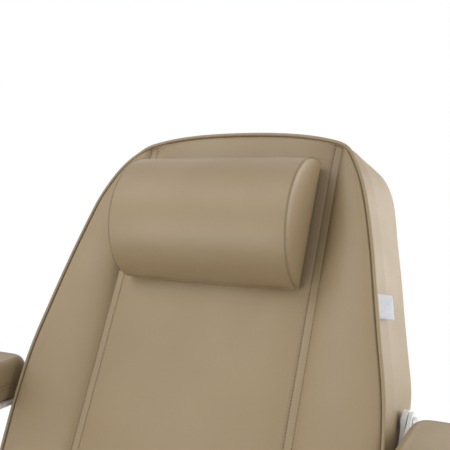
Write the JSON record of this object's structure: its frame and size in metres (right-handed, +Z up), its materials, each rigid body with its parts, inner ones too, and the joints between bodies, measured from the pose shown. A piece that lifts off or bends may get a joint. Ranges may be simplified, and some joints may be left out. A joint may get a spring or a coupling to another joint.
{
  "type": "beauty treatment chair",
  "caption": "Padded treatment chair with reclining back, lifting leg rest, swing-up armrests and head pillow, on a hydraulic swivel column with a pedal.",
  "frame": {"origin": "on the floor, on the axis of the column", "axes": "+Z up, the sitter faces -Y, +X is the sitter's left"},
  "size_m": [0.8526, 1.1459, 1.2585],
  "materials": {
    "leatherette": "satin",
    "white_steel": "satin",
    "dark_casting": "satin",
    "chrome": "polished",
    "zinc_steel": "satin",
    "bronze": "satin",
    "rubber": "matte",
    "black_plastic": "matte",
    "plywood": "matte",
    "black_spring": "satin",
    "label_cloth": "matte",
    "hook_and_loop": "matte"
  },
  "bodies": {
    "base": {"base_mat": "rubber", "base_plate": "white_steel", "base_cover": "white_steel", "pump_body": "dark_casting", "pump_collar": "chrome", "pump_bolts": "zinc_steel", "pedal_pin": "zinc_steel"},
    "column": {"piston": "chrome", "thrust_washer": "bronze"},
    "pedal": {"pedal_lever": "black_spring", "pedal_pad": "rubber"},
    "seat": {"swivel_head": "white_steel", "head_bolts": "zinc_steel", "seat_rail_left": "white_steel", "seat_rail_right": "white_steel", "seat_cross_front": "white_steel", "seat_cross_rear": "white_steel", "rail_end_caps": "black_plastic", "seat_board": "plywood", "seat_cushion": "leatherette", "back_hinge_plates": "white_steel", "back_hinge_pins": "zinc_steel", "leg_hinge_pins": "zinc_steel", "spring_anchors": "white_steel", "arm_bracket_left": "white_steel", "arm_bracket_right": "white_steel", "arm_pivot_bolts": "zinc_steel", "lever_mounts": "white_steel"},
    "backrest": {"back_rail_left": "white_steel", "back_rail_right": "white_steel", "back_cross_tube": "white_steel", "back_crank": "white_steel", "back_hinge_bushes": "bronze", "back_board": "plywood", "back_cover": "leatherette", "back_cushion": "leatherette", "side_label": "label_cloth", "pillow_strips": "hook_and_loop", "head_pillow": "leatherette"},
    "back_spring_body": {"back_spring_cylinder": "black_spring"},
    "back_spring_piston": {"back_spring_rod": "chrome"},
    "leg_rest": {"leg_arm_left": "white_steel", "leg_arm_right": "white_steel", "leg_cross_tube": "white_steel", "leg_crank": "white_steel", "leg_hinge_bushes": "bronze", "leg_board": "plywood", "leg_cushion": "leatherette"},
    "leg_spring_body": {"leg_spring_cylinder": "black_spring"},
    "leg_spring_piston": {"leg_spring_rod": "chrome"},
    "back_release": {"back_lever": "white_steel", "back_lever_grip": "black_plastic"},
    "leg_release": {"leg_lever": "white_steel", "leg_lever_grip": "black_plastic"},
    "armrest_left": {"arm_carrier_left": "white_steel", "arm_pad_left": "leatherette"},
    "armrest_right": {"arm_carrier_right": "white_steel", "arm_pad_right": "leatherette"}
  },
  "joints": [
    {"name": "seat_lift", "type": "slide", "parent": "base", "child": "column", "axis": [0, 0, 1], "range_m": [0, 0.15]},
    {"name": "seat_swivel", "type": "hinge", "parent": "column", "child": "seat", "pos_m": [0, 0, 0.4], "axis": [0, 0, 1], "continuous": true},
    {"name": "pump_pedal", "type": "hinge", "parent": "base", "child": "pedal", "pos_m": [0.088, 0, 0.064], "axis": [0, 1, 0], "range_deg": [0, 15], "stiffness_Nm_per_rad": 20, "springref_deg": -11.46},
    {"name": "backrest_recline", "type": "hinge", "parent": "seat", "child": "backrest", "pos_m": [0, 0.26713, 0.57], "axis": [-1, 0, 0], "range_deg": [0, 60]},
    {"name": "back_spring_swing", "type": "hinge", "parent": "seat", "child": "back_spring_body", "pos_m": [0.15, -0.03, 0.452], "axis": [1, 0, 0], "range_deg": [-1, 2]},
    {"name": "back_spring_stroke", "type": "slide", "parent": "back_spring_body", "child": "back_spring_piston", "axis": [0, 0.9999, 0.015], "range_m": [-0.132, 0.002]},
    {"name": "leg_rest_lift", "type": "hinge", "parent": "seat", "child": "leg_rest", "pos_m": [0, -0.19, 0.495], "axis": [-1, 0, 0], "range_deg": [0, 65]},
    {"name": "leg_spring_swing", "type": "hinge", "parent": "seat", "child": "leg_spring_body", "pos_m": [-0.15, 0.07, 0.436], "axis": [1, 0, 0], "range_deg": [-3, 1]},
    {"name": "leg_spring_stroke", "type": "slide", "parent": "leg_spring_body", "child": "leg_spring_piston", "axis": [0, -0.9968, -0.0796], "range_m": [-0.002, 0.098]},
    {"name": "back_release_pull", "type": "hinge", "parent": "seat", "child": "back_release", "pos_m": [0.176, -0.062, 0.459], "axis": [0, -1, 0], "range_deg": [0, 12], "stiffness_Nm_per_rad": 4, "springref_deg": -11.46},
    {"name": "leg_release_pull", "type": "hinge", "parent": "seat", "child": "leg_release", "pos_m": [-0.176, 0.036, 0.459], "axis": [0, 1, 0], "range_deg": [0, 12], "stiffness_Nm_per_rad": 4, "springref_deg": -11.46},
    {"name": "armrest_left_swing", "type": "hinge", "parent": "seat", "child": "armrest_left", "pos_m": [0.32, 0.4, 0.862], "axis": [-1, 0, 0], "range_deg": [0, 100]},
    {"name": "armrest_right_swing", "type": "hinge", "parent": "seat", "child": "armrest_right", "pos_m": [-0.32, 0.4, 0.862], "axis": [-1, 0, 0], "range_deg": [0, 100]}
  ],
  "couplings": [
    {"joint": "back_spring_swing", "follows": "backrest_recline", "ratio": 0.0079964},
    {"joint": "back_spring_stroke", "follows": "backrest_recline", "m_per_rad": -0.12412},
    {"joint": "leg_spring_swing", "follows": "leg_rest_lift", "ratio": -0.021982},
    {"joint": "leg_spring_stroke", "follows": "leg_rest_lift", "m_per_rad": 0.085065}
  ]
}
